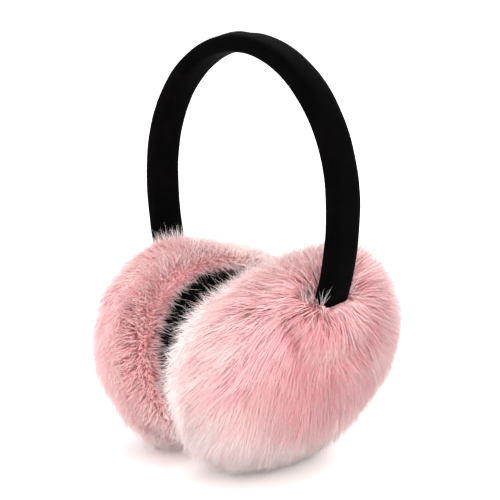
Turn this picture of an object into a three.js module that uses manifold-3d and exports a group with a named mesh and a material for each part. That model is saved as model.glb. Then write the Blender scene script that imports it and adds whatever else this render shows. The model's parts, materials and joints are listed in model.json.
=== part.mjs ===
// Fur earmuffs: a padded velvet headband, and at each end of it a round pad covered in long fur,
// with a velvet cushion on the side that meets the ear.
// Millimetres, +Z up. The wearer looks along -Y, so the left ear is at +X.
// The origin is on the surface that the pads stand on, midway between them.

import * as THREE from "three";
import { mergeVertices } from "three/addons/utils/BufferGeometryUtils.js";
import Module from "manifold-3d";

const wasm = await Module();
wasm.setup();

// Driving dimensions of the headband

const bandSpan = 136; // between the legs' centre lines, where they stand widest apart
const bandRise = 76; // from that level up to the centre line at the crown
const bandWidth = 18.5;
const bandThickness = 9;
const bandCornerRadius = 3.6;
const bandCornerLimit = 0.9; // the corners' largest radius, as a share of half the thickness there
const legLength = 78; // from the widest level down to the end, which is seated in the pad
const legBareLength = 47; // what shows of that before the fur closes over it
const legCurl = 150; // radius at which the legs bend in towards the ears

// Driving dimensions of the fur, over the tips of its locks

const furLength = 152; // front to back
const furHeight = 123; // along the pad's own upright
const furOuterDepth = 40; // from the pad's widest ring outwards
const furInnerDepth = 28; // from the pad's widest ring towards the ear
const pileDepth = 11; // how far the locks stand off the backing
const backingDrop = 4; // the backing hangs this low in the pile, which its weight presses short below
const settle = 5; // how much of the lowest pile the surface under it presses flat

// Driving dimensions of the locks

const lockLength = 25;
const lockWidth = 20;
const lockThickness = 11;
const lockSideCount = 4;
const lockKnee = { out: 0.2, on: 0.3 }; // where a lock bends over, as shares of its length
const lockSink = 0.6; // how deep its root sits in the backing, as a share of its thickness
const lockVary = { bearing: 0.25, lift: 0.15, length: 0.14 }; // how unlike each other they are
const lockStagger = 0.37; // how far each row is turned on from the last, as a share of its spacing
const lockSeed = 11;
const crownLift = 24; // how much more steeply the locks stand, in degrees, where the band goes in

// Driving dimensions of the ear cushions

const cushionLength = 97; // front to back
const cushionHeight = 87;
const cushionDepth = 12;
const cushionInset = 2; // from the pad's widest ring to the cushion's back
const cushionDrop = 8; // from the fur's middle down to the cushion's
const wellFlare = 1.16; // how much wider the fur opens round the cushion than the cushion is

// Where the pads hang, and what is left between pieces that touch

const padSpread = 62; // between the middles of the two pads
const padHang = 84; // from the band's widest level down to the middle of a pad
const padTilt = THREE.MathUtils.degToRad(13); // the pads stand apart at the top
const seatGap = 0.3;

// Worked out from them

const padCentreHeight = furHeight / 2 - settle;
const widestHeight = padCentreHeight + padHang;
const halfSpan = bandSpan / 2;
const backing = {
  length: furLength / 2 - pileDepth,
  height: furHeight / 2 - pileDepth + backingDrop,
  outer: furOuterDepth - pileDepth,
  inner: furInnerDepth - pileDepth,
};

// Fineness of the meshes

const bandRingStep = 8;
const bandCornerPoints = 3;
const padSideCount = 24;
const backingLatitudes = [-50, -38, -24, -8, 8, 24, 40, 56, 72, 84];

// The band's rounded end: the distance back from it, and the share of the full section reached there.
const bandEnd = [
  { back: 0, width: 0.5, thickness: 0.42 },
  { back: 1.2, width: 0.8, thickness: 0.78 },
  { back: 3.6, width: 0.96, thickness: 0.95 },
  { back: 8, width: 1, thickness: 1 },
];

// Rows of locks round a pad: the latitude on the backing in degrees, 0 at the widest ring and above it
// outwards, how many locks the row has, how steeply they stand up, and the share of the full length.
const lockRows = [
  { latitude: 74, count: 5, lift: 19, reach: 1.0 },
  { latitude: 52, count: 9, lift: 16, reach: 1.05 },
  { latitude: 30, count: 13, lift: 14, reach: 1.05 },
  { latitude: 8, count: 14, lift: 15, reach: 1.0 },
  { latitude: -14, count: 14, lift: 28, reach: 0.95 },
  { latitude: -34, count: 11, lift: 50, reach: 0.8 },
];

// A lock from root to tip: the share of its length, and the share of its full width there.
const lockShape = [
  { along: 0, girth: 0.75 },
  { along: 0.4, girth: 1 },
  { along: 0.75, girth: 0.62 },
  { along: 1, girth: 0.1 },
];

// The cushion from its back to its face: the share of its depth, and the share of its full radius.
const cushionShape = [
  { deep: 0, girth: 0.88 },
  { deep: 0.14, girth: 0.97 },
  { deep: 0.4, girth: 1 },
  { deep: 0.68, girth: 0.96 },
  { deep: 0.88, girth: 0.82 },
  { deep: 0.98, girth: 0.52 },
  { deep: 1, girth: 0.2 },
];

// A closed skin over a row of rings with as many points each, and a flat cap on both ends.
// Each ring turns anticlockwise about the way that the row runs.
function loft(rings) {
  const count = rings[0].length;
  const faces = [];
  for (let row = 0; row + 1 < rings.length; row++) {
    for (let i = 0; i < count; i++) {
      const here = row * count + i;
      const next = row * count + ((i + 1) % count);
      faces.push(here, next, next + count, here, next + count, here + count);
    }
  }
  const last = (rings.length - 1) * count;
  for (let i = 1; i + 1 < count; i++) {
    faces.push(0, i + 1, i, last, last + i, last + i + 1);
  }
  const geometry = new THREE.BufferGeometry().setFromPoints(rings.flat());
  geometry.setIndex(faces);
  return geometry;
}

function solidOf(geometry) {
  const bare = geometry.clone();
  bare.deleteAttribute("normal");
  bare.deleteAttribute("uv");
  const merged = mergeVertices(bare);
  return new wasm.Manifold(
    new wasm.Mesh({
      numProp: 3,
      vertProperties: merged.attributes.position.array,
      triVerts: new Uint32Array(merged.index.array),
    }),
  );
}

function geometryOf(solid) {
  const { vertProperties, triVerts } = solid.getMesh();
  const geometry = new THREE.BufferGeometry();
  geometry.setAttribute("position", new THREE.BufferAttribute(vertProperties, 3));
  geometry.setIndex(new THREE.BufferAttribute(triVerts, 1));
  geometry.computeVertexNormals();
  return geometry;
}

// The headband

// The band's centre line, in x and z, from the end at the left ear over the crown to the right one.
function bandLine() {
  const sweep = legLength / legCurl;
  const curlCentre = halfSpan - legCurl;
  const line = new THREE.CurvePath();
  line.add(new THREE.EllipseCurve(curlCentre, widestHeight, legCurl, legCurl, -sweep, 0));
  line.add(new THREE.EllipseCurve(0, widestHeight, halfSpan, bandRise, 0, Math.PI));
  line.add(
    new THREE.EllipseCurve(-curlCentre, widestHeight, legCurl, legCurl, Math.PI, Math.PI + sweep),
  );
  return line;
}

// Distances along the band at which it has a ring: close together over the rounded ends.
function bandStations(total) {
  const shoulder = bandEnd.at(-1).back;
  const evenCount = 2 * Math.round((total - 2 * shoulder) / bandRingStep / 2) + 1;
  const stations = bandEnd.map(({ back, ...section }) => ({ at: back, section }));
  for (let i = 1; i < evenCount; i++) {
    const at = shoulder + (i * (total - 2 * shoulder)) / evenCount;
    stations.push({ at, section: bandEnd.at(-1) });
  }
  for (const { back, ...section } of bandEnd.toReversed()) {
    stations.push({ at: total - back, section });
  }
  return stations;
}

// The band as a solid, or with grow as the room that it takes with a clearance round it.
function bandGeometry(grow = 0) {
  const line = bandLine();
  const total = line.getLength();
  const rings = bandStations(total).map(({ at, section }, index, all) => {
    const overrun = index === 0 ? -grow : index === all.length - 1 ? grow : 0;
    const centre = line.getPoint(at / total);
    const along = line.getTangent(at / total);
    const outwards = new THREE.Vector3(along.y, 0, -along.x);
    const middle = new THREE.Vector3(centre.x + along.x * overrun, 0, centre.y + along.y * overrun);
    const halfThick = (bandThickness / 2) * section.thickness + grow;
    const halfWide = (bandWidth / 2) * section.width + grow;
    const corner = Math.min(bandCornerRadius + grow, bandCornerLimit * halfThick);
    return roundedCorners(halfThick, halfWide, corner).map(([out, across]) =>
      middle.clone().addScaledVector(outwards, out).add(new THREE.Vector3(0, across, 0)),
    );
  });
  return loft(rings);
}

// The points of a rounded rectangle, anticlockwise from its right side.
function roundedCorners(halfX, halfY, radius) {
  const points = [];
  for (let corner = 0; corner < 4; corner++) {
    const x = (corner === 0 || corner === 3 ? 1 : -1) * (halfX - radius);
    const y = (corner < 2 ? 1 : -1) * (halfY - radius);
    for (let i = 0; i < bandCornerPoints; i++) {
      const angle = (Math.PI / 2) * (corner + i / (bandCornerPoints - 1));
      points.push([x + radius * Math.cos(angle), y + radius * Math.sin(angle)]);
    }
  }
  return points;
}

// The pads, each in its own frame: x outwards from the head, y back and z up, about its middle

function ovalRing(x, halfLength, halfHeight, centreZ = 0) {
  return Array.from({ length: padSideCount }, (_, i) => {
    const angle = (2 * Math.PI * i) / padSideCount;
    return new THREE.Vector3(x, halfLength * Math.cos(angle), centreZ + halfHeight * Math.sin(angle));
  });
}

// A place on the backing, at a latitude and a bearing in radians, and the way that its skin faces.
function onBacking(latitude, bearing) {
  const depth = latitude < 0 ? backing.inner : backing.outer;
  const radii = new THREE.Vector3(depth, backing.length, backing.height);
  const unit = new THREE.Vector3(
    Math.sin(latitude),
    Math.cos(latitude) * Math.cos(bearing),
    Math.cos(latitude) * Math.sin(bearing),
  );
  const place = unit.clone().multiply(radii);
  place.z -= backingDrop;
  return { place, facing: unit.divide(radii).normalize() };
}

// The padded backing under the fur, domed outside and blunt towards the ear.
function backingGeometry() {
  const rings = backingLatitudes.map((degrees) => {
    const latitude = THREE.MathUtils.degToRad(degrees);
    const depth = degrees < 0 ? backing.inner : backing.outer;
    const share = Math.cos(latitude);
    const x = depth * Math.sin(latitude);
    return ovalRing(x, backing.length * share, backing.height * share, -backingDrop);
  });
  return loft(rings);
}

// One lock of fur, a flattened spike that leaves the backing steeply and then lies along the fall.
function lockGeometry(root, facing, fall, lift, length) {
  const rise = fall.clone().multiplyScalar(Math.cos(lift)).addScaledVector(facing, Math.sin(lift));
  const knee = root
    .clone()
    .addScaledVector(facing, lockKnee.out * length)
    .addScaledVector(fall, lockKnee.on * length);
  const foot = root.clone().addScaledVector(facing, -lockSink * lockThickness);
  const tip = root.clone().addScaledVector(rise, length);
  const line = new THREE.QuadraticBezierCurve3(foot, knee, tip);
  const rings = lockShape.map(({ along, girth }) => {
    const centre = line.getPoint(along);
    const ahead = line.getTangent(along);
    const across = new THREE.Vector3().crossVectors(facing, fall).normalize();
    const over = new THREE.Vector3().crossVectors(ahead, across).normalize();
    return Array.from({ length: lockSideCount }, (_, i) => {
      const angle = (2 * Math.PI * i) / lockSideCount;
      return centre
        .clone()
        .addScaledVector(across, (lockWidth / 2) * girth * Math.cos(angle))
        .addScaledVector(over, (lockThickness / 2) * girth * Math.sin(angle));
    });
  });
  return loft(rings);
}

// The locks of a whole pad, combed away from the place where the band goes into the fur.
function lockSolids(whorl) {
  THREE.MathUtils.seededRandom(lockSeed);
  const vary = (amount) => 1 + amount * (2 * THREE.MathUtils.seededRandom() - 1);
  const solids = [];
  for (const [rowIndex, row] of lockRows.entries()) {
    for (let i = 0; i < row.count; i++) {
      const place = i + lockStagger * rowIndex + lockVary.bearing * vary(1);
      const bearing = (2 * Math.PI * place) / row.count;
      const latitude = THREE.MathUtils.degToRad(row.latitude);
      const { place: root, facing } = onBacking(latitude, bearing);
      if (root.distanceTo(whorl) < bandWidth) continue; // the band fills this place
      const fall = root.clone().sub(whorl);
      fall.addScaledVector(facing, -fall.dot(facing)).normalize();
      const crown = crownLift * Math.max(0, Math.sin(bearing));
      const lift = THREE.MathUtils.degToRad(row.lift + crown) * vary(lockVary.lift);
      const length = lockLength * row.reach * vary(lockVary.length);
      solids.push(solidOf(lockGeometry(root, facing, fall, lift, length)));
    }
  }
  return solids;
}

function cushionGeometry() {
  const rings = cushionShape.map(({ deep, girth }) => {
    const x = -cushionInset - cushionDepth * deep;
    return ovalRing(x, (cushionLength / 2) * girth, (cushionHeight / 2) * girth, -cushionDrop);
  });
  return loft(rings.reverse());
}

// The room in the fur cover that the cushion is seated in. It opens wider towards the ear.
function wellGeometry() {
  const back = -cushionInset + seatGap;
  const halfLength = cushionLength / 2 + seatGap;
  const halfHeight = cushionHeight / 2 + seatGap;
  const brim = back - cushionDepth / 2;
  const mouth = -2 * furInnerDepth;
  const flare = (x) => 1 + ((wellFlare - 1) * (brim - x)) / (brim + furInnerDepth);
  return loft([
    ovalRing(mouth, halfLength * flare(mouth), halfHeight * flare(mouth), -cushionDrop),
    ovalRing(brim, halfLength, halfHeight, -cushionDrop),
    ovalRing(back, halfLength, halfHeight, -cushionDrop),
  ]);
}

// A box in the object's frame that takes away what it covers.
function cutBox(centre, size) {
  return new THREE.BoxGeometry(...size).translate(...centre);
}

const padPlacing = new THREE.Group();
padPlacing.position.set(padSpread / 2, 0, padCentreHeight);
padPlacing.rotation.y = padTilt;
padPlacing.updateMatrixWorld(true);
const toPad = padPlacing.matrixWorld.clone().invert();

function furCoverGeometry() {
  const legSweep = legBareLength / legCurl;
  const whorl = new THREE.Vector3(
    halfSpan - legCurl * (1 - Math.cos(legSweep)),
    0,
    widestHeight - legCurl * Math.sin(legSweep),
  ).applyMatrix4(toPad);
  const reach = furLength + furHeight;
  const below = cutBox([0, 0, -reach / 2], [2 * reach, 2 * reach, reach]);
  const beyond = cutBox([(seatGap - reach) / 2, 0, 0], [reach, 2 * reach, 4 * reach]);
  let cover = solidOf(backingGeometry());
  for (const lock of lockSolids(whorl)) {
    cover = cover.add(lock);
  }
  for (const cutter of [bandGeometry(seatGap), below, beyond]) {
    cover = cover.subtract(solidOf(cutter.applyMatrix4(toPad)));
  }
  return geometryOf(cover.subtract(solidOf(wellGeometry())));
}

// Finishes

const blackVelvet = { color: 0x0b090a, roughness: 0.95, metalness: 0 };
const blackPlush = { color: 0x0d0b0c, roughness: 1, metalness: 0 };
const pinkFur = { color: 0xe8b6b4, roughness: 0.9, metalness: 0 };

function named(name, geometry, finish) {
  const mesh = new THREE.Mesh(geometry, new THREE.MeshStandardMaterial(finish));
  mesh.name = name;
  return mesh;
}

// The earmuffs, with the right ear's side the left one's turned half round

const earmuffs = new THREE.Group();
earmuffs.add(named("headband", bandGeometry(), blackVelvet));

const coverGeometry = furCoverGeometry();
const earSides = [
  { ear: "left", turn: 0 },
  { ear: "right", turn: Math.PI },
];
for (const { ear, turn } of earSides) {
  const pad = new THREE.Group();
  pad.position.copy(padPlacing.position);
  pad.rotation.copy(padPlacing.rotation);
  pad.add(named(`fur_cover_${ear}`, coverGeometry, pinkFur));
  pad.add(named(`ear_cushion_${ear}`, cushionGeometry(), blackPlush));
  const side = new THREE.Group();
  side.rotation.z = turn;
  side.add(pad);
  earmuffs.add(side);
}

export default earmuffs;
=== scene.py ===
# %% [markdown]
# # Fur earmuffs
# A black velvet headband carries a round pad over each ear. Each pad is covered in long pink pile, and
# has a black plush cushion on the side that meets the head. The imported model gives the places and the
# sizes. This lesson dresses it: every soft piece gets its own mesh and a material named for what it is.

import json
import math

import bmesh
import bpy
import numpy as np
from mathutils import Matrix, Vector, noise

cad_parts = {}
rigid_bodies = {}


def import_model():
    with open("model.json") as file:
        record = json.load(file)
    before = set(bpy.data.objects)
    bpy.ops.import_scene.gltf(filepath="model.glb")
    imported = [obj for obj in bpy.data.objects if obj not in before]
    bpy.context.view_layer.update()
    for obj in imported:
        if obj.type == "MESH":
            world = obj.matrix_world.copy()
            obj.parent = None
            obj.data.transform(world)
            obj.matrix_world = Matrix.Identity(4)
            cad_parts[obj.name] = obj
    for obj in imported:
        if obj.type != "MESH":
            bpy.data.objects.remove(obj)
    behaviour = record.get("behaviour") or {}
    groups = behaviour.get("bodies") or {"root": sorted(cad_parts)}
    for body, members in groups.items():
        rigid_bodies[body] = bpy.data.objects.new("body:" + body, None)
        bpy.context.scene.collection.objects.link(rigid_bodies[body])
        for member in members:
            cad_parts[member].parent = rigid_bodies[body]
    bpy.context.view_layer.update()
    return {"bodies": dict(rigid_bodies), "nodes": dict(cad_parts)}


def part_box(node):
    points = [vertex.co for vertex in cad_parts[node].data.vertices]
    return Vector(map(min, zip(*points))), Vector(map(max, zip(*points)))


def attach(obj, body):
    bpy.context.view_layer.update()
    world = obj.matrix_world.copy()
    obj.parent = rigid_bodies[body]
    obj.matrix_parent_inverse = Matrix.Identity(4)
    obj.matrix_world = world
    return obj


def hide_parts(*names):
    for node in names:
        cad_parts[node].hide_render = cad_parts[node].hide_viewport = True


MM = 0.001

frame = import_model()
body = next(iter(frame["bodies"]))

# %% [markdown]
# ## Where things lie
# The two ear sides are one side turned half round about the upright axis, so everything on a pad is
# made in the pad's own frame, with x outwards from the head, y back and z up. One matrix then carries
# it to its ear, and the finished mesh keeps its place in its own vertices.

# %% The pads' frames and the band's line
pad_spread = 62 * MM  # between the middles of the two pads
pad_centre_height = 56.5 * MM
pad_tilt = math.radians(13)  # they stand apart at the top
ear_sides = {"left": 0.0, "right": math.pi}

crown_thickness = 9 * MM
band_low, band_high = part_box("headband")
half_span = band_high.x - crown_thickness / 2
band_rise = 76 * MM
widest_height = band_high.z - crown_thickness / 2 - band_rise
leg_length = 78 * MM
leg_bare_length = 44 * MM  # what shows of a leg before the pile closes over it
leg_curl = 150 * MM  # the radius of the legs' bend


def pad_matrix(ear):
    """Carries the pad's frame to the ear that it is worn on."""
    place = Matrix.Translation((pad_spread / 2, 0, pad_centre_height))
    return Matrix.Rotation(ear_sides[ear], 4, "Z") @ place @ Matrix.Rotation(pad_tilt, 4, "Y")


def leg_point(drop):
    """A point of the left leg's centre line, drop below the level where the legs are widest apart."""
    sweep = drop / leg_curl
    across = half_span - leg_curl * (1 - math.cos(sweep))
    return Vector((across, 0, widest_height - leg_curl * math.sin(sweep)))


to_pad = pad_matrix("left").inverted()
whorl = to_pad @ (leg_point(leg_bare_length) + Vector((crown_thickness / 2, 0, 0)))
print("The pile radiates from", [round(v / MM, 1) for v in whorl], "mm in the pad's frame")

# %% [markdown]
# ## Small helpers
# Colours are written as the sRGB hex values that a picture editor shows, and Blender's shaders work in
# linear light, so one function turns the one into the other. Another adds a shader node together with
# its settings and links, which keeps each material short enough to read.

# %% Helpers for materials
def linear(code):
    """An sRGB hex colour as linear red, green, blue and alpha."""
    shares = [int(code[i : i + 2], 16) / 255 for i in (1, 3, 5)]
    return [s / 12.92 if s <= 0.04045 else ((s + 0.055) / 1.055) ** 2.4 for s in shares] + [1.0]


def add(tree, kind, links=None, values=None, **settings):
    """A new node of a shader tree, with its settings, its sockets' values and the links into it."""
    made = tree.nodes.new(kind)
    for name, value in settings.items():
        setattr(made, name, value)
    for name, value in (values or {}).items():
        made.inputs[name].default_value = value
    for name, socket in (links or {}).items():
        tree.links.new(socket, made.inputs[name])
    return made


def ramp(tree, factor, stops):
    """A colour ramp through (place, hex colour) stops."""
    made = add(tree, "ShaderNodeValToRGB", {"Fac": factor})
    points = made.color_ramp.elements
    while len(points) < len(stops):
        points.new(0.5)
    for point, (place, code) in zip(points, stops):
        point.position = place
        point.color = linear(code)
    return made.outputs["Color"]


def new_material(name):
    """A material with its tree, its Principled shader and nothing else set."""
    made = bpy.data.materials.new(name)
    made.use_nodes = True
    return made, made.node_tree, made.node_tree.nodes["Principled BSDF"]


print("Middle grey #808080 is", round(linear("#808080")[0], 3), "in linear light")

# %% [markdown]
# A finished piece is a mesh that keeps its place in its own vertices, on an object that sits at the
# origin. Two helpers see to that for every piece, and to normals that point outwards.

# %% Helpers for meshes
def place_piece(mesh, name, material, matrix=None):
    """An object at the origin for a finished mesh, riding on the body."""
    if matrix is not None:
        mesh.transform(matrix)
    made = bpy.data.objects.new(name, mesh)
    bpy.context.scene.collection.objects.link(made)
    made.data.materials.clear()
    made.data.materials.append(material)
    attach(made, body)
    return made


def mesh_of(bm, name):
    """Turns a bmesh into a smooth mesh whose faces point outwards."""
    bmesh.ops.recalc_face_normals(bm, faces=bm.faces)
    for face in bm.faces:
        face.smooth = True
    mesh = bpy.data.meshes.new(name)
    bm.to_mesh(mesh)
    bm.free()
    return mesh


print("Every piece rides on the body", body)

# %% [markdown]
# ## Materials
# The pile is modacrylic fur: fine, silky fibres that are dusty rose at the root and bleach to almost
# white at the tip. Each strand's own UV map says how light the strand is across and how far along it
# a point lies, so a ramp can colour it from root to tip without any picture.

# %% The fur's materials
root_to_tip = 0.45  # the share of the colour ramp that one strand runs through
knit_grain = 1.5 * MM  # a stitch of the ground
light_depth = 2 * MM  # how deep light soaks into the pile


def make_fur_material():
    """Modacrylic pile: soft, slightly silky strands, darker at the root and pale at the tip."""
    made, tree, shader = new_material("modacrylic_pile")
    place = add(tree, "ShaderNodeUVMap", uv_map="OFBake")
    split = add(tree, "ShaderNodeSeparateXYZ", {"Vector": place.outputs["UV"]})
    reach = add(tree, "ShaderNodeMath", operation="MULTIPLY_ADD")
    tree.links.new(split.outputs["Y"], reach.inputs[0])
    reach.inputs[1].default_value = root_to_tip
    tree.links.new(split.outputs["X"], reach.inputs[2])
    stops = [(0.0, "#d8646c"), (0.3, "#e07f86"), (0.6, "#eda4a6"), (0.85, "#fbc9c5"), (1.0, "#ffe9e3")]
    colour = ramp(tree, reach.outputs["Value"], stops)
    tree.links.new(colour, shader.inputs["Base Color"])
    shader.inputs["Roughness"].default_value = 0.5
    shader.inputs["Specular IOR Level"].default_value = 0.2
    shader.inputs["Sheen Weight"].default_value = 0.1
    shader.inputs["Sheen Roughness"].default_value = 0.5
    shader.inputs["Subsurface Weight"].default_value = 0.6
    shader.inputs["Subsurface Radius"].default_value = (1.0, 0.55, 0.5)
    shader.inputs["Subsurface Scale"].default_value = light_depth
    return made


def make_skin_material():
    """The knitted ground of the fur with its densest, shortest fibres, seen only in the partings."""
    made, tree, shader = new_material("fur_ground_knit")
    place = add(tree, "ShaderNodeTexCoord").outputs["Object"]
    grain = add(tree, "ShaderNodeTexNoise", {"Vector": place}, {"Scale": 1 / knit_grain, "Detail": 4})
    colour = ramp(tree, grain.outputs["Fac"], [(0.3, "#d98a8f"), (0.7, "#ecaeb0")])
    tree.links.new(colour, shader.inputs["Base Color"])
    relief = {"Distance": 0.6 * MM, "Strength": 0.8}
    bump = add(tree, "ShaderNodeBump", {"Height": grain.outputs["Fac"]}, relief)
    tree.links.new(bump.outputs["Normal"], shader.inputs["Normal"])
    shader.inputs["Roughness"].default_value = 0.9
    shader.inputs["Specular IOR Level"].default_value = 0.1
    return made


fur_material = make_fur_material()
skin_material = make_skin_material()
print("Materials:", fur_material.name, skin_material.name)

# %% [markdown]
# The headband is cotton velvet and the cushions are short plush. Both are black cloth with a pile, so
# one function makes them, with the spacing of the tufts, two blacks, the lighter of which is painted
# sheen, and the shader's sheen as its settings.
# Real velvet has a tuft every 0.3 mm or so. That is too fine to show, so it is drawn at 0.7 mm.

# %% The black cloths
painted_sheen_patch = 16 * MM  # the size of the patches of painted sheen, where the nap lies another way


def make_velvet_material(name, nap, low, high, sheen):
    """Black pile cloth. The nap swallows light and has a faint sheen, and painted sheen makes the patches
    where the nap lies another way a shade lighter.
    """
    made, tree, shader = new_material(name)
    place = add(tree, "ShaderNodeTexCoord").outputs["Object"]
    painted_sheen = add(tree, "ShaderNodeTexNoise", {"Vector": place}, {"Scale": 1 / painted_sheen_patch, "Detail": 3})
    fibres = add(tree, "ShaderNodeTexNoise", {"Vector": place}, {"Scale": 1 / nap, "Detail": 2})
    # Painted sheen: where the nap lies another way, the cloth is painted a shade lighter.
    colour = ramp(tree, painted_sheen.outputs["Fac"], [(0.3, low), (0.7, high)])
    tree.links.new(colour, shader.inputs["Base Color"])
    relief = {"Distance": 0.25 * MM, "Strength": 0.7}
    bump = add(tree, "ShaderNodeBump", {"Height": fibres.outputs["Fac"]}, relief)
    tree.links.new(bump.outputs["Normal"], shader.inputs["Normal"])
    shader.inputs["Roughness"].default_value = 0.95
    shader.inputs["Specular IOR Level"].default_value = 0.02
    shader.inputs["Sheen Weight"].default_value = sheen
    shader.inputs["Sheen Roughness"].default_value = 0.35
    return made


# In each pair of blacks the lighter one is painted sheen, on the patches where the nap lies another way.
velvet_material = make_velvet_material("black_cotton_velvet", 0.7 * MM, "#010101", "#040303", 0.005)
plush_material = make_velvet_material("black_short_plush", 1.6 * MM, "#040304", "#080708", 0.03)
print("Materials:", velvet_material.name, plush_material.name)

# %% [markdown]
# ## The headband
# The band is a padded velvet sleeve, sewn shut along the side that lies on the head. It could be a
# curve with a bevel, but a mesh lets the section swell like padding and sink at the seam. A ring is
# extruded along the band's line, station by station, and each new ring is put in its place by a matrix.

# %% The band's line and section
band_width = band_high.y - band_low.y
band_ring_sides = 36
band_station_step = 3.5 * MM
band_squareness = 0.62  # 1 is an oval section, and less is squarer
band_end_length = 8 * MM
band_end_stations = [0.0, 0.5 * MM, 1.5 * MM, 3 * MM, 5 * MM]
band_end_size = 0.45  # the section's share at the very end
seam_sink = 0.7 * MM
seam_half_width = 1.4 * MM
band_waves = [(17 * MM, 0.22), (7 * MM, 0.12)]  # the length of the padding's waves, and their height in mm
velvet_nap = 0.4 * MM  # how far the nap stands out from the band's solid
merge_gap = 0.05 * MM

# The way along half the crown, from the left leg to the top, is summed once over short steps.
fine = np.linspace(0, math.pi / 2, 2001)
steps = np.hypot(np.diff(half_span * np.cos(fine)), np.diff(band_rise * np.sin(fine)))
travelled = np.concatenate([[0], np.cumsum(steps)])
half_length = leg_length + travelled[-1]


def band_station(distance):
    """The band's place and turn at a distance from the left end, along legs and crown."""
    if distance < leg_length:
        drop = leg_length - distance
        lean = drop / leg_curl
        return leg_point(drop), Vector((math.cos(lean), 0, -math.sin(lean)))
    angle = float(np.interp(distance - leg_length, travelled, fine))
    point = Vector((half_span * math.cos(angle), 0, widest_height + band_rise * math.sin(angle)))
    out = Vector((band_rise * math.cos(angle), 0, half_span * math.sin(angle))).normalized()
    return point, out


print("The band's centre line is", round(2 * half_length / MM), "mm long")


# %% Extrude the headband
def make_headband():
    """One half from the left end to the top, mirrored to the right and closed at both ends."""
    bm = bmesh.new()
    bmesh.ops.create_circle(bm, segments=band_ring_sides, radius=1)
    for vert in bm.verts:
        vert.co.x = math.copysign(abs(vert.co.x) ** band_squareness, vert.co.x)
        vert.co.y = math.copysign(abs(vert.co.y) ** band_squareness, vert.co.y)
    loop = list(bm.edges)
    first = loop
    last = Matrix.Identity(4)
    half_thick, half_wide = crown_thickness / 2 + velvet_nap, band_width / 2 + velvet_nap
    count = round(half_length / band_station_step)
    stations = band_end_stations + list(np.linspace(band_end_length, half_length, count))
    for index, distance in enumerate(stations):
        point, out = band_station(distance)
        reach = min(distance / band_end_length, 1)
        rounding = band_end_size + (1 - band_end_size) * math.sqrt(1 - (1 - reach) ** 2)
        turn = Matrix((out, (0, 1, 0), out.cross(Vector((0, 1, 0))))).transposed().to_4x4()
        size = Matrix.Diagonal((half_thick * rounding, half_wide * rounding, 1, 1))
        here = Matrix.Translation(point) @ turn @ size
        if index:
            grown = bmesh.ops.extrude_edge_only(bm, edges=loop)["geom"]
            loop = [g for g in grown if isinstance(g, bmesh.types.BMEdge)]
        verts = list({v for e in loop for v in e.verts})
        bmesh.ops.transform(bm, matrix=here @ last.inverted(), verts=verts)
        last = here
    bmesh.ops.contextual_create(bm, geom=first)
    whole = bm.verts[:] + bm.edges[:] + bm.faces[:]
    bmesh.ops.mirror(bm, geom=whole, axis="X", merge_dist=merge_gap)
    bmesh.ops.remove_doubles(bm, verts=bm.verts, dist=merge_gap)
    bm.normal_update()
    # The seam runs along the middle of the side that lies on the head.
    for vert in bm.verts:
        off_middle = abs(vert.co.y) / seam_half_width
        inward = vert.normal.dot(Vector((-vert.co.x, 0, widest_height - vert.co.z)))
        if off_middle < 1 and inward > 0:
            vert.co -= vert.normal * seam_sink * (1 - off_middle)
        swell = sum(noise.noise(vert.co / wave) * height for wave, height in band_waves)
        vert.co += vert.normal * swell * MM
    return mesh_of(bm, "headband_velvet")


headband = place_piece(make_headband(), "headband_velvet", velvet_material)
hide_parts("headband")
print("Headband:", len(headband.data.polygons), "faces")

# %% [markdown]
# ## The fur's form
# The pile isn't evenly deep. It stands up in some places and is brushed flat in others. Its tone varies
# too: it is bleached paler in some places, and painted light makes it paler where the pads lie in shade
# and darker where the lamps light them most. Short tables of round, soft-edged spots on the pad say where.

# %% Where the pile is fuller, and where its tone and painted light make it paler or darker
fur_radii_out = np.array((40 * MM, 76 * MM, 61.5 * MM))  # the pad's outline over the tips of the pile
fur_radii_in = np.array((29 * MM, 76 * MM, 61.5 * MM))  # the same on the side of the ear
swells = {  # where the pile stands fuller or lies flatter than the rounded outline
    "left": [
        {"towards": (0.2, 0.52, 0.82), "amount": 0.14, "spread": 0.5},
        {"towards": (0.3, 0.95, 0.15), "amount": 0.05, "spread": 0.35},
        {"towards": (0.2, 0.25, 0.95), "amount": 0.05, "spread": 0.4},
        {"towards": (0.2, 0.62, -0.75), "amount": -0.14, "spread": 0.55},
        {"towards": (-0.4, -0.75, 0.35), "amount": 0.16, "spread": 0.5},
    ],
    "right": [
        {"towards": (-0.2, -0.42, 0.88), "amount": -0.15, "spread": 0.5},
        {"towards": (0.1, -0.2, 0.97), "amount": -0.15, "spread": 0.25},
        {"towards": (-0.75, 0.35, 0.5), "amount": -0.26, "spread": 0.5},
        {"towards": (0.1, 0.85, 0.45), "amount": 0.045, "spread": 0.4},
        {"towards": (0.1, 0.9, -0.3), "amount": -0.03, "spread": 0.6},
        {"towards": (0.1, 0.6, -0.8), "amount": 0.05, "spread": 0.4},
    ],
}
tone_and_painted_light = {  # where the pile is bleached paler or its deeper rose shows, and painted light: paler where the pads lie in shade, darker where the lamps light them most
    "left": [
        {"towards": (-0.4, -0.9, 0.15), "amount": 0.36, "spread": 1.0},
        {"towards": (0.45, -0.3, -0.85), "amount": 0.62, "spread": 0.85},
        {"towards": (0.85, -0.25, 0.2), "amount": -0.42, "spread": 0.62},
        {"towards": (0.0, 0.0, 1.0), "amount": 0.06, "spread": 0.5},
        {"towards": (0.66, 0.06, 0.74), "amount": 0.4, "spread": 0.08},
    ],
    "right": [
        {"towards": (-0.3, -0.4, 0.85), "amount": 0.35, "spread": 0.5},
        {"towards": (0.1, 0.95, -0.1), "amount": -0.05, "spread": 0.6},
        {"towards": (-0.9, 0.4, 0.0), "amount": 0.08, "spread": 0.5},
        {"towards": (-0.1, 0.45, -0.85), "amount": 0.34, "spread": 0.6},
    ],
}


def unit(rows):
    """Each row as a direction of length 1."""
    return rows / np.maximum(np.linalg.norm(rows, axis=1, keepdims=True), 1e-12)


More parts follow.
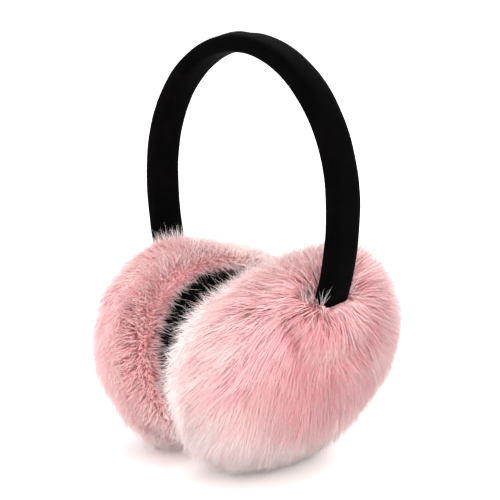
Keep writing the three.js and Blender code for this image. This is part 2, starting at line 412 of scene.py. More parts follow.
def spots(points, table):
    """The sum of a table's soft round spots at the places where the points lie on the pad."""
    radii = np.where(points[:, :1] > 0, fur_radii_out, fur_radii_in)
    way = unit(points / radii)
    total = np.zeros(len(points))
    for spot in table:
        angle = np.arccos(np.clip(way @ np.array(Vector(spot["towards"]).normalized()), -1, 1))
        total += spot["amount"] * np.exp(-((angle / spot["spread"]) ** 2))
    return total


print("Fuller and flatter spots:", {ear: len(table) for ear, table in swells.items()})

# %% [markdown]
# ## The fur's ground
# Under the pile is the knitted ground of the fur, drawn over a foam dome, with a lip that turns in
# round the ear cushion. A sphere is stretched to the pad's three sizes, cut off towards the ear, and
# its edge is extruded over the lip and down into the well that the cushion sits in.

# %% The dome, its lip and the well
ground_length, ground_height = 63 * MM, 53.5 * MM
ground_outer, ground_inner = 27 * MM, 16 * MM
ground_drop = 4 * MM
ground_segments, ground_rings = 108, 56
dome_edge = -3 * MM  # where the dome ends and the lip begins
cushion_drop = 8 * MM
cushion_half_height = 43.5 * MM
cushion_low, cushion_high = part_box("ear_cushion_left")
well_gap = 0.6 * MM  # between the cushion and the wall of its well
well_length = (cushion_high.y - cushion_low.y) / 2 + well_gap
well_height = cushion_half_height + well_gap
lip_rings = [  # how far towards the ear, then the ring's share of the way from the ground to the well
    {"x": -8 * MM, "share": 0.28},
    {"x": -11 * MM, "share": 0.62},
    {"x": -12 * MM, "share": 0.92},
    {"x": -9 * MM, "share": 1.0},
    {"x": -1.4 * MM, "share": 1.0},
]


def make_ground():
    """The dome, its lip and the well, in the pad's frame."""
    bm = bmesh.new()
    bmesh.ops.create_uvsphere(bm, u_segments=ground_segments, v_segments=ground_rings, radius=1)
    bmesh.ops.rotate(bm, verts=bm.verts, matrix=Matrix.Rotation(math.pi / 2, 3, "Y"))
    outer = [v for v in bm.verts if v.co.x >= 0]
    inner = [v for v in bm.verts if v.co.x < 0]
    bmesh.ops.scale(bm, verts=outer, vec=(ground_outer, ground_length, ground_height))
    bmesh.ops.scale(bm, verts=inner, vec=(ground_inner, ground_length, ground_height))
    bmesh.ops.translate(bm, verts=bm.verts, vec=(0, 0, -ground_drop))
    cut = bmesh.ops.bisect_plane(
        bm,
        geom=bm.verts[:] + bm.edges[:] + bm.faces[:],
        plane_co=(dome_edge, 0, 0),
        plane_no=(-1, 0, 0),
        clear_outer=True,
    )
    loop = [g for g in cut["geom_cut"] if isinstance(g, bmesh.types.BMEdge)]
    edge = {v: v.co.copy() for e in loop for v in e.verts}
    for ring in lip_rings:
        grown = bmesh.ops.extrude_edge_only(bm, edges=loop)["geom"]
        loop = [g for g in grown if isinstance(g, bmesh.types.BMEdge)]
        for vert in {v for e in loop for v in e.verts}:
            bearing = math.atan2((vert.co.z + cushion_drop) / well_height, vert.co.y / well_length)
            well_z = well_height * math.sin(bearing) - cushion_drop
            well = Vector((0, well_length * math.cos(bearing), well_z))
            start = min(edge.values(), key=lambda c: (c.y - vert.co.y) ** 2 + (c.z - vert.co.z) ** 2)
            vert.co = start.lerp(well, ring["share"]) if ring["share"] < 1 else well
            vert.co.x = ring["x"]
    bmesh.ops.contextual_create(bm, geom=loop)
    bmesh.ops.triangulate(bm, faces=[f for f in bm.faces if len(f.verts) > 4])
    return bm


def from_well(points):
    """How far points lie from the well's middle, where 1 is its wall."""
    return np.hypot(points[:, 1] / well_length, (points[:, 2] + cushion_drop) / well_height)


print("The well in mm:", round(2 * well_length / MM, 1), "by", round(2 * well_height / MM, 1))

# %% [markdown]
# The band's leg goes into the pad through a slit. The ground is drawn out over the leg's end there, as
# the real cloth is, so that the pile closes over the velvet at the right height.

# %% The slit that the leg goes in through
slit_drop = 47 * MM  # how far down the leg goes in under the ground
slit_cover = 0.8 * MM  # how far the ground stands off the leg's outer face
slit_flank = 11 * MM  # the width over which it falls back at each side
slit_step = 1.5 * MM  # the height over which it rises at the slit's edge


def moved(points, matrix):
    """Rows of points carried by a matrix."""
    return points @ np.array(matrix.to_3x3()).T + np.array(matrix.translation[:])


def leg_line(height):
    """How far out the leg's centre line is at world heights, and how far it leans there."""
    sweep = np.arcsin(np.clip((widest_height - height) / leg_curl, 0, 0.9))
    return half_span - leg_curl * (1 - np.cos(sweep)), sweep


def in_leg(world, margin):
    """True for world points inside a leg of the band, made thicker by margin."""
    line, _ = leg_line(world[:, 2])
    across = np.abs(np.abs(world[:, 0]) - line)
    thick, wide = crown_thickness / 2 + margin, band_width / 2 + margin
    return (world[:, 2] < widest_height) & (across < thick) & (np.abs(world[:, 1]) < wide)


def over_leg(points):
    """Draws the ground out over the leg's end, which goes in through a slit."""
    world = moved(points, pad_matrix("left"))
    line, sweep = leg_line(world[:, 2])
    cover = line + crown_thickness / 2 / np.cos(sweep) + slit_cover
    below = np.clip((widest_height - world[:, 2] - slit_drop) / slit_step + 1, 0, 1)
    beside = np.clip(1 - (np.abs(world[:, 1]) - band_width / 2) / slit_flank, 0, 1)
    share = below * beside * beside * (3 - 2 * beside) * (points[:, 0] > 0)
    world[:, 0] += np.maximum(cover - world[:, 0], 0) * share
    return moved(world, to_pad)


print("The leg goes in", round((widest_height - slit_drop) / MM, 1), "mm above the floor")

# %% [markdown]
# Foam under cloth is never quite even, so a noise moves the ground by up to a millimetre, and it
# follows the fuller and flatter spots of the pile. Blender may list a sphere's faces in another order
# each time it runs, and the roots of the pile are drawn by face, so the faces are put in one order.

# %% The ground of one pad
foam_wave = 14 * MM
foam_rise = 0.9 * MM
ground_swell = 0.6  # the share of the pile's swells that the ground follows
well_rim = 1.02  # up to here the wall of the well keeps its shape
rim_blend = 0.25


def in_order(mesh):
    """The same mesh with its faces in one fixed order, so that the same roots are drawn each time."""
    faces = []
    for polygon in mesh.polygons:
        corners = list(polygon.vertices)
        first = corners.index(min(corners))
        faces.append(corners[first:] + corners[:first])
    made = bpy.data.meshes.new(mesh.name)
    made.from_pydata([v.co[:] for v in mesh.vertices], [], sorted(faces))
    made.polygons.foreach_set("use_smooth", np.ones(len(faces), bool))
    bpy.data.meshes.remove(mesh)
    return made


def ground_mesh(ear):
    """The ground with the slight unevenness of foam under cloth."""
    mesh = in_order(mesh_of(make_ground(), f"fur_ground_{ear}"))
    points = np.array([v.co[:] for v in mesh.vertices])
    normals = np.array([v.normal[:] for v in mesh.vertices])
    place = pad_matrix(ear)
    uneven = np.array([noise.noise((place @ v.co) / foam_wave) for v in mesh.vertices]) * foam_rise
    free = np.where(points[:, 0] > 0, 1, np.clip((from_well(points) - well_rim) / rim_blend, 0, 1))
    fuller = 1 + ground_swell * spots(points, swells[ear]) * free
    shaped = points * fuller[:, None] + normals * (uneven * free)[:, None]
    mesh.vertices.foreach_set("co", over_leg(shaped).reshape(-1))
    mesh.update()
    return mesh


grounds = {ear: ground_mesh(ear) for ear in ear_sides}
print("Ground:", {ear: len(mesh.polygons) for ear, mesh in grounds.items()}, "faces")

# %% [markdown]
# ## The pile
# Hair curves would be the usual way, but they hold no mesh, so each strand here is a real, closed
# spike of three sides that tapers to a point. Numpy arrays hold all the strands of a piece at once:
# a root on the ground, a knee where the strand bends over, and a tip.
# Fur looks like fur because its strands aren't even. They lie away from the whorl, where the band
# goes in, they gather in broad locks with partings between them, and in each lock in fine wisps.

# %% Roots scattered over the ground
rng = np.random.default_rng(2024)


def scatter(mesh, count, wanted):
    """Random points on a mesh with their smooth normals, even by area, where wanted(points) is true."""
    mesh.calc_loop_triangles()
    corners = np.array([t.vertices[:] for t in mesh.loop_triangles])
    points = np.array([v.co[:] for v in mesh.vertices])
    normals = np.array([v.normal[:] for v in mesh.vertices])
    a, b, c = (points[corners[:, i]] for i in range(3))
    areas = np.linalg.norm(np.cross(b - a, c - a), axis=1) / 2
    areas = np.where(wanted((a + b + c) / 3), areas, 0)
    pick = rng.choice(len(areas), size=count, p=areas / areas.sum())
    s, t = rng.random(count), rng.random(count)
    flip = s + t > 1
    s[flip], t[flip] = 1 - s[flip], 1 - t[flip]
    weights = np.stack([1 - s - t, s, t], axis=1)[:, :, None]
    place = (points[corners[pick]] * weights).sum(axis=1)
    facing = (normals[corners[pick]] * weights).sum(axis=1)
    return place, unit(facing)


# %% [markdown]
# Each kind of hair grows on its own part of the pad: the pile everywhere but in the well and under
# the leg, a short collar round the leg, and finer loose hairs on the lip and on top. A function for
# each part says which points belong to it.

# %% Which part of the pad a kind of hair grows on
leg_gap = 0.2 * MM  # roots and strands keep this far from a leg
well_front = -1 * MM  # the well begins here
well_edge = 1.01  # the pile begins this far from the well's middle
collar_width = 11 * MM
slit_above = 8 * MM  # how far over the slit its neighbourhood reaches
slit_rim_width = 3 * MM
flank_width, flank_aside, flank_above = 4 * MM, 0.5 * MM, 14 * MM
fringe_front, fringe_inner, fringe_outer = -5 * MM, 1.03, 1.3
crest_front, crest_half_width, crest_height = -7 * MM, 17 * MM, 38 * MM


def takes_pile(points):
    """True off the well's floor and wall and off what the band's leg covers."""
    in_well = (points[:, 0] < well_front) & (from_well(points) < well_edge)
    return ~in_well & ~in_leg(moved(points, pad_matrix("left")), leg_gap)


def beside_leg(points):
    """True close round the leg's end, where the pile closes over it."""
    world = moved(points, pad_matrix("left"))
    return (points[:, 0] > 0) & in_leg(world, collar_width) & ~in_leg(world, leg_gap / 2)


def at_slit(world):
    """True for world points on the ground just over and below the slit that the leg goes in through."""
    line, _ = leg_line(world[:, 2])
    near = (np.abs(world[:, 1]) < band_width / 2) & (np.abs(world[:, 0]) > line)
    return near & (world[:, 2] > widest_height - slit_drop - slit_above)


def at_slit_rim(points):
    """True on the rim of the slit itself."""
    world = moved(points, pad_matrix("left"))
    close = in_leg(world, slit_rim_width) & ~in_leg(world, leg_gap)
    return at_slit(world) & close & (widest_height - world[:, 2] < slit_drop + slit_rim_width)


def beside_flank(points):
    """True beside the leg's narrow sides, near its end."""
    world = moved(points, pad_matrix("left"))
    drop = widest_height - world[:, 2]
    aside = np.abs(world[:, 1]) > band_width / 2 + flank_aside
    return (points[:, 0] > 0) & in_leg(world, flank_width) & aside & (drop > slit_drop - flank_above)


def on_fringe(points):
    """True on the lip round the cushion."""
    ratio = from_well(points)
    return (points[:, 0] < fringe_front) & (ratio > fringe_inner) & (ratio < fringe_outer)


def on_crest(points):
    """True on top of the pad, on the side of the leg."""
    middle = np.abs(points[:, 1]) < crest_half_width
    return (points[:, 0] > crest_front) & middle & (points[:, 2] > crest_height)


ground_points = np.array([v.co[:] for v in grounds["left"].vertices])
print("Share of the ground's corners that take pile:", round(float(takes_pile(ground_points).mean()), 2))


# %% [markdown]
# The way a strand lies comes from a small field: away from the whorl, along the ground, a little
# downwards with gravity, and outwards on the lip round the cushion. Locks and wisps are made by
# guides: every strand copies part of the turn, length and tip of the guide that it is nearest to.

# %% The way the pile lies
lip_start, lip_width = 2 * MM, 8 * MM  # where the pad turns in towards the ear, and over what width
wall_width = 0.2  # over this share of the well's size the strands follow its wall
comb_wall, strand_wall = 1.22, 1.25  # where the two begin to feel the wall
hang, lip_hang = 0.3, 0.25  # gravity's say in the way that a strand lies
wall_stand = 0.5  # how much less the strands at the wall lie outwards
knee_share, tip_share = 0.45, 0.6  # a strand's length up to its knee and beyond it


def on_lip(points, start=lip_start):
    """0 on the pad's outer side, rising to 1 on the lip."""
    return np.clip((start - points[:, 0]) / lip_width, 0, 1)


def near_wall(points, start):
    """0 away from the well, rising to 1 at its wall."""
    return np.clip((start - from_well(points)) / wall_width, 0, 1)


def comb(roots, facing):
    """The direction in which the pile lies at each root, along the ground."""
    down = np.array((to_pad.to_3x3() @ Vector((0, 0, -1)))[:])
    fall = unit(roots - np.array(whorl[:]))
    outwards = roots * np.array((0, 1, 1))
    outwards[:, 2] += cushion_drop
    lip = on_lip(roots)[:, None]
    edge = near_wall(roots, comb_wall)[:, None] * lip
    lying = (1 - wall_stand * edge) * unit(outwards) + lip_hang * down
    fall = (1 - lip) * (fall + hang * down) + lip * lying
    fall -= facing * (fall * facing).sum(axis=1, keepdims=True)
    return unit(fall)


def bend_strands(roots, facing, length, lift, droop, turn):
    """The knee and the tip of strands that rise at an angle and then lie over."""
    fall = comb(roots, facing)
    side = np.cross(facing, fall)
    fall = fall * np.cos(turn)[:, None] + side * np.sin(turn)[:, None]
    rise = fall * np.cos(lift)[:, None] + facing * np.sin(lift)[:, None]
    over = fall * np.cos(droop)[:, None] + facing * np.sin(droop)[:, None]
    knee = roots + rise * (knee_share * length)[:, None]
    tip = knee + over * (tip_share * length)[:, None]
    return knee, tip


lowest = ground_points[ground_points[:, 2].argmin()][None]
way = comb(lowest, np.array([[0.0, 0.0, -1.0]]))[0]
print("At the bottom of the pad the pile lies towards", [round(float(v), 2) for v in way])


# %% Guides, and the trim along the pad's outline
guide_batch = 4000  # so many points are compared with the guides at a time
trim_give = 0.3  # the share of its overshoot that a strand keeps
trim_tips, trim_tip_chance = 0.955, 0.035  # where tips are trimmed, as a share of the outline
trim_knees = 0.93


def nearest(points, guides):
    """For each point the index of its nearest guide."""
    found = np.empty(len(points), int)
    for start in range(0, len(points), guide_batch):
        part = points[start : start + guide_batch]
        gaps = ((part[:, None, :] - guides[None, :, :]) ** 2).sum(axis=2)
        found[start : start + guide_batch] = gaps.argmin(axis=1)
    return found


def trim(points, limit, ear):
    """Points outside the pad's rounded outline are brushed down to lie along it."""
    radii = np.where(points[:, :1] > 0, fur_radii_out, fur_radii_in)
    level = np.linalg.norm(points / radii, axis=1)
    limit = limit + spots(points, swells[ear])
    wanted = np.where(level > limit, limit + (level - limit) * trim_give, level)
    return points * (wanted / level)[:, None]


# %% [markdown]
# One layer of pile draws its locks and wisps first and then its strands. Chance moves every measure a
# little, and more so on the lip, where real pile is ruffled by the sewing of the cushion.

# %% Strands of one layer
chance = {  # how far chance moves each measure
    "lock_lift": math.radians(5),
    "lock_size": 0.06,
    "lock_tone": 0.07,
    "wisp_tone": 0.06,
    "length": 0.08,
    "lift": 0.10,
    "droop": 0.09,
    "turn": 0.11,
    "tone": 0.09,
}
# How much the strands on the lip and at the wall of the well differ from the others.
at_lip = {"shorter": 0.2, "ruffled": 1.5, "turned": 0.15, "less_turn": 0.5, "less_gather": 0.65}
at_wall = {"shorter": 0.5, "lifted": 0.4, "raised": 0.9, "turned": 0.2}
swell_length = 1.5  # how much longer the strands are where the pile stands fuller
gather_least = 0.55
gather_start = 4 * MM
tone_range = (0.02, 0.98)


def make_strands(ground, count, form, ear):
    """Roots, knees, tips and tones of one layer of pile."""
    locks, _ = scatter(ground, form["locks"], takes_pile)
    wisp_roots, wisp_facing = scatter(ground, form["wisps"], takes_pile)
    roots, facing = scatter(ground, count, takes_pile)
    lock_turn = rng.normal(0, math.radians(form["lock_turn"]), form["locks"])
    lock_lift = rng.normal(0, chance["lock_lift"], form["locks"])
    lock_size = rng.normal(1, chance["lock_size"], form["locks"])
    lock_tone = rng.normal(0, chance["lock_tone"], form["locks"])
    wisp_tone = rng.normal(0, chance["wisp_tone"], form["wisps"])

    def shape(points, skins):
        """Knees and tips with the lock's turn and some of the strand's own."""
        lock = nearest(points, locks)
        n = len(points)
        lip = on_lip(points)
        wall = near_wall(points, strand_wall) * lip
        uneven = rng.normal(0, chance["length"], n) * (1 + at_lip["ruffled"] * lip)
        length = form["length"] * lock_size[lock] * (1 + uneven)
        cut = 1 - at_lip["shorter"] * lip - at_wall["shorter"] * wall
        length *= cut * (1 + swell_length * spots(points, swells[ear]))
        lift = np.radians(form["lift"]) + lock_lift[lock] + rng.normal(0, chance["lift"], n)
        lift = lift + at_wall["lifted"] * wall
        droop = np.radians(form["droop"]) + lock_lift[lock] + rng.normal(0, chance["droop"], n)
        droop = droop + at_wall["raised"] * wall
        own = rng.normal(0, 1, n) * (chance["turn"] + at_lip["turned"] * lip + at_wall["turned"] * wall)
        turn = lock_turn[lock] * (1 - at_lip["less_turn"] * lip) + own
        knee, tip = bend_strands(points, skins, length, lift, droop, turn)
        return lock, knee, tip

    _, guide_knee, guide_tip = shape(wisp_roots, wisp_facing)
    lock, knee, tip = shape(roots, facing)
    wisp = nearest(roots, wisp_roots)
    pull = form["gather"] * rng.uniform(gather_least, 1.0, (count, 1))
    pull *= 1 - at_lip["less_gather"] * on_lip(roots, gather_start)[:, None]
    tip = tip + (guide_tip[wisp] - tip) * pull
    knee = knee + (guide_knee[wisp] - knee) * pull * knee_share
    tip = trim(tip, rng.normal(trim_tips, trim_tip_chance, count), ear)
    knee = trim(knee, np.full(count, trim_knees), ear)
    tone = form["tone"] + lock_tone[lock] + wisp_tone[wisp] + rng.normal(0, chance["tone"], count)
    # The spots add the pile's bleached and deeper tones, and painted light: paler where the pads lie in
    # shade, darker where the lamps light them most.
    tone += spots(roots, tone_and_painted_light[ear])
    return roots, knee, tip, np.clip(tone, *tone_range)


# %% [markdown]
# Some hairs don't lie with the rest. A collar of short ones closes round the leg, and fine pale ones
# stand up from the lip and the top of the pad. They need no guides, only a way to rise and a way to
# bend over, each with some chance in it.

# %% Short tufts and stray hairs
tuft_rise_chance = 0.2
tuft_tone_chance = 0.1
tuft_sizes = (0.6, 1.2)


def make_tufts(ground, form):
    """Hairs that stand up from one part of the pad instead of lying with the rest."""
    count = form["count"]
    roots, facing = scatter(ground, count, form["place"])
    up = np.array((to_pad.to_3x3() @ Vector((0, 0, 1)))[:])
    rise = unit(facing + form["rise"] * up + rng.normal(0, tuft_rise_chance, (count, 3)))
    over = unit(facing + form["over"] * up + rng.normal(0, form["stray"], (count, 3)))
    size = form["length"] * rng.uniform(*tuft_sizes, count)[:, None]
    knee = roots + rise * size / 2
    tip = knee + over * size / 2
    tone = form["tone"] + rng.normal(0, tuft_tone_chance, count)
    return roots, knee, tip, np.clip(tone, *tone_range)


# %% [markdown]
# Under the pads the strands lie out flat on the floor. A knee or a tip that would lie a little way in
# the band's leg is pushed to its side, and a strand that would cross the leg, climb its face or be
# pushed far is left out.

# %% Keep strands out of what they touch
floor_touch = 0.5 * MM  # strands lower than this are pressed
floor_least = 0.35 * MM  # and come to lie at least this high
floor_heap = 0.12  # strands that sank more lie higher in the heap
floor_spread = 0.6
leg_clearance = 0.5 * MM
push_limit = 0.7 * MM
climb_limit = 1.5 * MM
checked_shares = (0.2, 0.4, 0.6, 0.8)  # where along a strand it is checked


def press_on_floor(points):
    """World points below the surface lie on it, moved outwards by part of the way that they sank."""
    sunk = np.maximum(floor_touch - points[:, 2], 0)
    way = points * np.array((1, 1, 0))
    points = points + unit(way) * (sunk * floor_spread)[:, None]
    points[:, 2] = np.maximum(points[:, 2], floor_least + floor_heap * sunk)
    return points


def clear_of_band(points):
    """World points inside a leg of the band are moved to its nearest side."""
    margin = leg_clearance + velvet_nap
    line, _ = leg_line(points[:, 2])
    out = np.abs(points[:, 0]) - line
    to_face = crown_thickness / 2 + margin - np.abs(out)
    to_side = band_width / 2 + margin - np.abs(points[:, 1])
    inside = (points[:, 2] < widest_height) & (to_face > 0) & (to_side > 0)
    by_face = inside & (to_face < to_side)
    by_side = inside & ~by_face
    points[:, 0] += np.where(by_face, np.sign(points[:, 0]) * np.sign(out) * to_face, 0)
    points[:, 1] += np.where(by_side, np.sign(points[:, 1]) * to_side, 0)
    return points


def settle(strands, ear):
    """Takes strands from the pad's frame to the world, clear of the leg and the floor."""
    roots, knees, tips, tone = strands
    roots, knees, tips = (moved(rows, pad_matrix(ear)) for rows in (roots, knees, tips))
    pushed = [clear_of_band(rows.copy()) for rows in (knees, tips)]
    push = np.maximum(*(np.linalg.norm(new - old, axis=1) for new, old in zip(pushed, (knees, tips))))
    climbs = at_slit(roots) & (tips[:, 2] > roots[:, 2] + climb_limit)
    free = (push < push_limit) & ~climbs
    for share in checked_shares:
        along = roots * (1 - share) ** 2 + knees * 2 * share * (1 - share) + tips * share**2
        free &= ~in_leg(along, leg_gap)
    knees, tips = (press_on_floor(rows[free]) for rows in pushed)
    return press_on_floor(roots[free]), knees, tips, tone[free]


rested = press_on_floor(np.array([[30 * MM, 0, -5 * MM]]))[0]
print("A tip 5 mm under the floor comes to lie", round(float(rested[2] / MM), 2), "mm over it")


# %% [markdown]
# Each strand becomes one to three rings of three corners and a tip, with more rings the more of it
# shows. The rings stand square to the strand, turned at random so that neighbours catch the light
# differently.

# %% Turn strands into one mesh
ring_places = {3: (0.0, 0.38, 0.72), 2: (0.0, 0.5), 1: (0.0,)}
ring_girths = {3: (1.0, 0.92, 0.6), 2: (1.0, 0.8), 1: (1.0,)}
skew_way = np.array((0.31, 0.52, 0.79))  # no strand lies exactly this way, so it gives each a side
girth_range = (0.75, 1.25)


def strand_faces(rings):
    """The triangles of one spike, by corner number. Its tip is the last corner."""
    faces = [(0, 2, 1)]
    for ring in range(rings - 1):
        for corner in range(3):
            a, b = 3 * ring + corner, 3 * ring + (corner + 1) % 3
            faces += [(a, b, b + 3), (a, b + 3, a + 3)]
    top = 3 * (rings - 1)
    return np.array(faces + [(top + i, top + (i + 1) % 3, 3 * rings) for i in range(3)])


print("Triangles of a strand, by its rings:", {rings: len(strand_faces(rings)) for rings in ring_places})


def strand_mesh(name, roots, knees, tips, tone, radius, rings=3):
    """One mesh of closed three-sided spikes, with a UV map of tone and place along the strand."""
    count = len(roots)
    spin = rng.uniform(0, 2 * math.pi, count)
    rows = []
    for place, girth in zip(ring_places[rings], ring_girths[rings]):
        centre = roots * (1 - place) ** 2 + knees * 2 * place * (1 - place) + tips * place**2
        ahead = unit((knees - roots) * (1 - place) + (tips - knees) * place)
        across = unit(np.cross(ahead, skew_way))
        over = np.cross(ahead, across)
        for corner in range(3):
            angle = spin + corner * 2 * math.pi / 3
            reach = across * np.cos(angle)[:, None] + over * np.sin(angle)[:, None]
            rows.append(centre + reach * (radius * girth)[:, None])
    rows.append(tips)
    points = np.stack(rows, axis=1).reshape(-1, 3)
    pattern = strand_faces(rings)
    every = (np.arange(count)[:, None, None] * len(rows) + pattern[None]).reshape(-1, 3)
    mesh = bpy.data.meshes.new(name)
    mesh.from_pydata(points, [], every)
    along = np.array([p for p in ring_places[rings] for _ in range(3)] + [1.0])
    loops = pattern.reshape(-1)
    chart = np.empty((count, len(loops), 2), np.float32)
    chart[:, :, 0] = tone[:, None]
    chart[:, :, 1] = along[loops][None]
    mesh.uv_layers.new(name="OFBake").data.foreach_set("uv", chart.reshape(-1))
    mesh.polygons.foreach_set("use_smooth", np.ones(len(every), bool))
    mesh.update()
    return mesh


def pile_piece(name, ear, strands, radius, rings):
    """A piece of pile from strands in the pad's frame."""
    roots, knees, tips, tone = settle(strands, ear)
    girth = radius * rng.uniform(*girth_range, len(roots))
    mesh = strand_mesh(name, roots, knees, tips, tone, girth, rings)
    piece = place_piece(mesh, name, fur_material)
    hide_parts(f"fur_cover_{ear}")
    print(name, len(mesh.polygons), "triangles")


# %% [markdown]
# Real fur has a dense, short underfur and longer guard hairs, whose bleached tips show on the outside.
# The same three layers are grown here. The underfur is few and thick strands, because only their
# tips show, and the tufts and strays follow with a table of their own.

# %% Grow the pile on both pads
ground_clear = 0.2 * MM  # how high the ground stays off the floor
pile_layers = [
    {
        "name": "under",
        "count": 12000,
        "form": {
            "locks": 90, "wisps": 900, "length": 19 * MM, "lift": 45, "droop": 20,
            "lock_turn": 10, "gather": 0.3, "tone": 0.08,
        },
        "radius": 0.40 * MM,
        "rings": 1,
    },
    {
        "name": "guard",
        "count": 17600,
        "form": {
            "locks": 90, "wisps": 900, "length": 27 * MM, "lift": 50, "droop": 8,
            "lock_turn": 10, "gather": 0.5, "tone": 0.18,
        },
        "radius": 0.16 * MM,
        "rings": 2,
    },
    {
        "name": "tips",
        "count": 17600,
        "form": {
            "locks": 90, "wisps": 1600, "length": 29 * MM, "lift": 55, "droop": 12,
            "lock_turn": 12, "gather": 0.25, "tone": 0.34,
        },
        "radius": 0.11 * MM,
        "rings": 2,
    },
]
tufts = [
    {
        "name": "collar", "place": beside_leg, "count": 1500, "length": 12 * MM, "rings": 2,
        "rise": -0.2, "over": -1.3, "stray": 0.2, "tone": 0.4, "radius": 0.13 * MM,
    },
    {
        "name": "slit", "place": at_slit_rim, "count": 320, "length": 7 * MM, "rings": 2,
        "rise": 0.5, "over": -1.2, "stray": 0.25, "tone": 0.3, "radius": 0.12 * MM,
    },
    {
        "name": "flank", "place": beside_flank, "count": 36, "length": 11 * MM, "rings": 3,
        "rise": 0.9, "over": 0.1, "stray": 0.6, "tone": 0.9, "radius": 0.07 * MM,
    },
    {
        "name": "crest", "place": on_crest, "count": 420, "length": 15 * MM, "rings": 3,
        "rise": 0.4, "over": 0.8, "stray": 0.5, "tone": 0.7, "radius": 0.08 * MM,
    },
    {
        "name": "strays", "place": on_crest, "count": 12, "length": 30 * MM, "rings": 3,
        "rise": 1.2, "over": 0.0, "stray": 0.8, "tone": 0.95, "radius": 0.06 * MM,
    },
    {
        "name": "fringe", "place": on_fringe, "count": 700, "length": 20 * MM, "rings": 3,
        "rise": 0.0, "over": -0.15, "stray": 0.45, "tone": 0.85, "radius": 0.07 * MM,
    },
]

for ear, ground in grounds.items():
    for layer in pile_layers:
        strands = make_strands(ground, layer["count"], layer["form"], ear)
        pile_piece(f"fur_{layer['name']}_{ear}", ear, strands, layer["radius"], layer["rings"])
    for form in tufts:
        strands = make_tufts(ground, form)
        pile_piece(f"fur_{form['name']}_{ear}", ear, strands, form["radius"], form["rings"])
    place = pad_matrix(ear)
    for vert in ground.vertices:
        world = place @ vert.co
        world.z = max(world.z, ground_clear)
        vert.co = place.inverted() @ world
    skin = place_piece(ground, f"fur_ground_{ear}", skin_material, place)
    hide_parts(f"fur_cover_{ear}")

# %% [markdown]
# ## The ear cushions
# A cushion is two discs of plush sewn together round foam. Blender's cloth can blow one up: a copy of
# the plain solid, made a little smaller, is remeshed into even squares and given some air pressure.
# How far a point may move is capped, so the cushion stays in the well that holds it.

# %% Blow up a cushion
cushion_voxel = 3 * MM
cushion_start = 0.96  # the share of the solid's size that the cloth starts from
cushion_pressure = 4.0
cushion_cap = 1.2 * MM
cushion_frames = 20


def puff(copy):
    """Runs the cloth on a copy and returns its settled points, then takes the cloth off again."""
    cloth = copy.modifiers.new("air", "CLOTH")
    cloth.settings.use_pressure = True
    cloth.settings.uniform_pressure_force = cushion_pressure
    cloth.settings.effector_weights.gravity = 0
    cloth.settings.quality = 5
    for step in range(1, cushion_frames + 1):
        bpy.context.scene.frame_set(step)
    shape = copy.evaluated_get(bpy.context.evaluated_depsgraph_get())
    points = [v.co.copy() for v in shape.data.vertices]
    copy.modifiers.remove(cloth)
    bpy.context.scene.frame_set(1)
    return points


def cushion_copy(ear):
    """A copy of the CAD cushion, shrunk about its middle and remeshed into even squares."""
    bm = bmesh.new()
    bm.from_mesh(frame["nodes"][f"ear_cushion_{ear}"].data)
    bmesh.ops.remove_doubles(bm, verts=bm.verts, dist=0.01 * MM)
    low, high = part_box(f"ear_cushion_{ear}")
    about = Matrix.Translation((low + high) / 2)
    shrink = about @ Matrix.Scale(cushion_start, 4) @ about.inverted()
    bmesh.ops.transform(bm, verts=bm.verts, matrix=shrink)
    copy = bpy.data.objects.new("cushion_copy", mesh_of(bm, f"ear_cushion_plush_{ear}"))
    bpy.context.scene.collection.objects.link(copy)
    remesh = copy.modifiers.new("even", "REMESH")
    remesh.mode = "VOXEL"
    remesh.voxel_size = cushion_voxel
    even = copy.evaluated_get(bpy.context.evaluated_depsgraph_get())
    remeshed = bpy.data.meshes.new_from_object(even)
    copy.modifiers.clear()
    copy.data = remeshed
    return copy


def make_cushion(ear):
    """The CAD cushion, shrunk, remeshed, blown up and smoothed."""
    copy = cushion_copy(ear)
    start = [v.co.copy() for v in copy.data.vertices]
    blown = puff(copy)
    print("The cloth moved by up to", max((n - o).length for n, o in zip(blown, start)) / MM, "mm")
    for vert, old, new in zip(copy.data.vertices, start, blown):
        step = new - old
        if step.length > cushion_cap:
            step *= cushion_cap / step.length
        vert.co = old + step
    bm = bmesh.new()
    bm.from_mesh(copy.data)
    axes = {"use_axis_x": True, "use_axis_y": True, "use_axis_z": True}
    bmesh.ops.smooth_vert(bm, verts=bm.verts, factor=0.5, **axes)
    bmesh.ops.subdivide_edges(bm, edges=bm.edges, cuts=1, use_grid_fill=True, smooth=0.4)
    final = mesh_of(bm, f"ear_cushion_plush_{ear}")
    bpy.data.objects.remove(copy)
    return final


# %% [markdown]
# The plush has a short nap that breaks up the cushion's edge. It is made as the fur is, of much
# shorter spikes of a single ring that stand almost straight up.

# %% The cushions and their nap
nap_count = 7000
nap_lean = 0.35
nap_lengths = (1.2, 2.4)  # mm
nap_radius = 0.14 * MM


def make_nap(cushion_mesh, ear):
    """Short black pile that stands on the cushion."""
    roots, facing = scatter(cushion_mesh, nap_count, lambda points: np.ones(len(points), bool))
    lean = unit(facing + rng.normal(0, nap_lean, (nap_count, 3)))
    length = rng.uniform(*nap_lengths, nap_count)[:, None] * MM
    tips = roots + lean * length
    knees = roots + facing * length / 2
    tone, girth = np.zeros(nap_count), np.full(nap_count, nap_radius)
    return strand_mesh(f"ear_cushion_nap_{ear}", roots, knees, tips, tone, girth, rings=1)


for ear in ear_sides:
    mesh = make_cushion(ear)
    nap = place_piece(make_nap(mesh, ear), f"ear_cushion_nap_{ear}", plush_material)
    cushion = place_piece(mesh, f"ear_cushion_plush_{ear}", plush_material)
    for piece in (cushion, nap):
        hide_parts(f"ear_cushion_{ear}")
    print("Cushion:", len(mesh.polygons), "faces")

# %% [markdown]
# ## Floor, light and camera
# A product like this is shown on a pale sweep of paper. One large square does for it here, wide enough
# to reach past every view.

# %% The floor
floor_half_size = 14.0


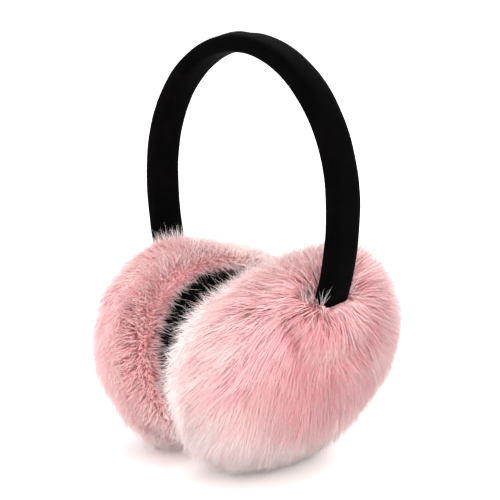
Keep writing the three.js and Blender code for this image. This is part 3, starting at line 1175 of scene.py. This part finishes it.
def make_floor():
    """A plain pale floor that reaches past every view."""
    bm = bmesh.new()
    bmesh.ops.create_grid(bm, x_segments=1, y_segments=1, size=floor_half_size)
    made = bpy.data.objects.new("floor", mesh_of(bm, "floor"))
    bpy.context.scene.collection.objects.link(made)
    paint, tree, shader = new_material("pale_studio_floor")
    shader.inputs["Base Color"].default_value = linear("#fcfbfb")
    shader.inputs["Roughness"].default_value = 0.9
    shader.inputs["Specular IOR Level"].default_value = 0.1
    made.data.materials.append(paint)


make_floor()
print("Floor:", 2 * floor_half_size, "m wide")

# %% [markdown]
# Fur is lit best by light from all around, which fills the partings. So a bright white world does most
# of the work, and five weak round lamps shape the pads: two faint ones in front, one low down that
# lifts the near pad's rim, one at the side, and one behind that draws a pale edge round the pile.

# %% The lights
surround = 1.5  # the strength of the light from all around
light_aim = Vector((0, 0, 0.1))

world = bpy.data.worlds.new("studio")
bpy.context.scene.world = world
world.use_nodes = True
world.node_tree.nodes["Background"].inputs["Color"].default_value = linear("#ffffff")
world.node_tree.nodes["Background"].inputs["Strength"].default_value = surround

lights = [
    {"name": "key", "place": (-0.1, -1.4, 0.8), "size": 0.9, "power": 1},
    {"name": "front", "place": (1.0, -1.15, 0.25), "size": 1.0, "power": 1},
    {"name": "low", "place": (0.7, -0.95, 0.17), "size": 0.3, "power": 13},
    {"name": "side", "place": (1.4, 0.2, 0.5), "size": 0.8, "power": 4},
    {"name": "back", "place": (-0.4, 1.4, 0.9), "size": 0.9, "power": 18},
]
for entry in lights:
    data = bpy.data.lights.new(entry["name"], "AREA")
    data.shape = "DISK"
    data.size = entry["size"]
    data.energy = entry["power"]
    lamp = bpy.data.objects.new(entry["name"], data)
    lamp.location = entry["place"]
    lamp.rotation_euler = (light_aim - lamp.location).to_track_quat("-Z", "Y").to_euler()
    bpy.context.scene.collection.objects.link(lamp)
print("Lamps in watts:", {entry["name"]: entry["power"] for entry in lights})

# %% [markdown]
# The camera stands where the picture was taken from. Its turn, height and lens come from fitting the
# band's edges, and it looks at a point near the middle of the object.

# %% The camera
camera_turn = math.radians(46.61)
camera_rise = math.radians(14.07)
camera_distance = 700 * MM
camera_target = Vector((2.57 * MM, 0, 109.0 * MM))
focal_pixels = 1340.21  # in a picture 500 pixels wide
picture_pixels = 500
film_width = 36  # mm

data = bpy.data.cameras.new("camera")
data.sensor_width = film_width
data.lens = data.sensor_width * focal_pixels / picture_pixels
camera = bpy.data.objects.new("camera", data)
towards_camera = Vector(
    (
        math.sin(camera_turn) * math.cos(camera_rise),
        -math.cos(camera_turn) * math.cos(camera_rise),
        math.sin(camera_rise),
    )
)
camera.location = camera_target + camera_distance * towards_camera
camera.rotation_euler = (-towards_camera).to_track_quat("-Z", "Y").to_euler()
bpy.context.scene.collection.objects.link(camera)
bpy.context.scene.camera = camera
bpy.context.scene.view_settings.view_transform = "Standard"
bpy.context.scene.view_settings.look = "None"
print("Lens:", round(data.lens, 1), "mm")

# %% [markdown]
# ## Finish
# The triangles of every new mesh are counted, piece by piece and in all.

# %% Count the triangles
shown = [o for o in bpy.data.objects if o.type == "MESH" and o.name not in frame["nodes"]]
triangles = {o.name: sum(len(f.vertices) - 2 for f in o.data.polygons) for o in shown}
print("Triangles:", triangles, "in all", sum(triangles.values()))
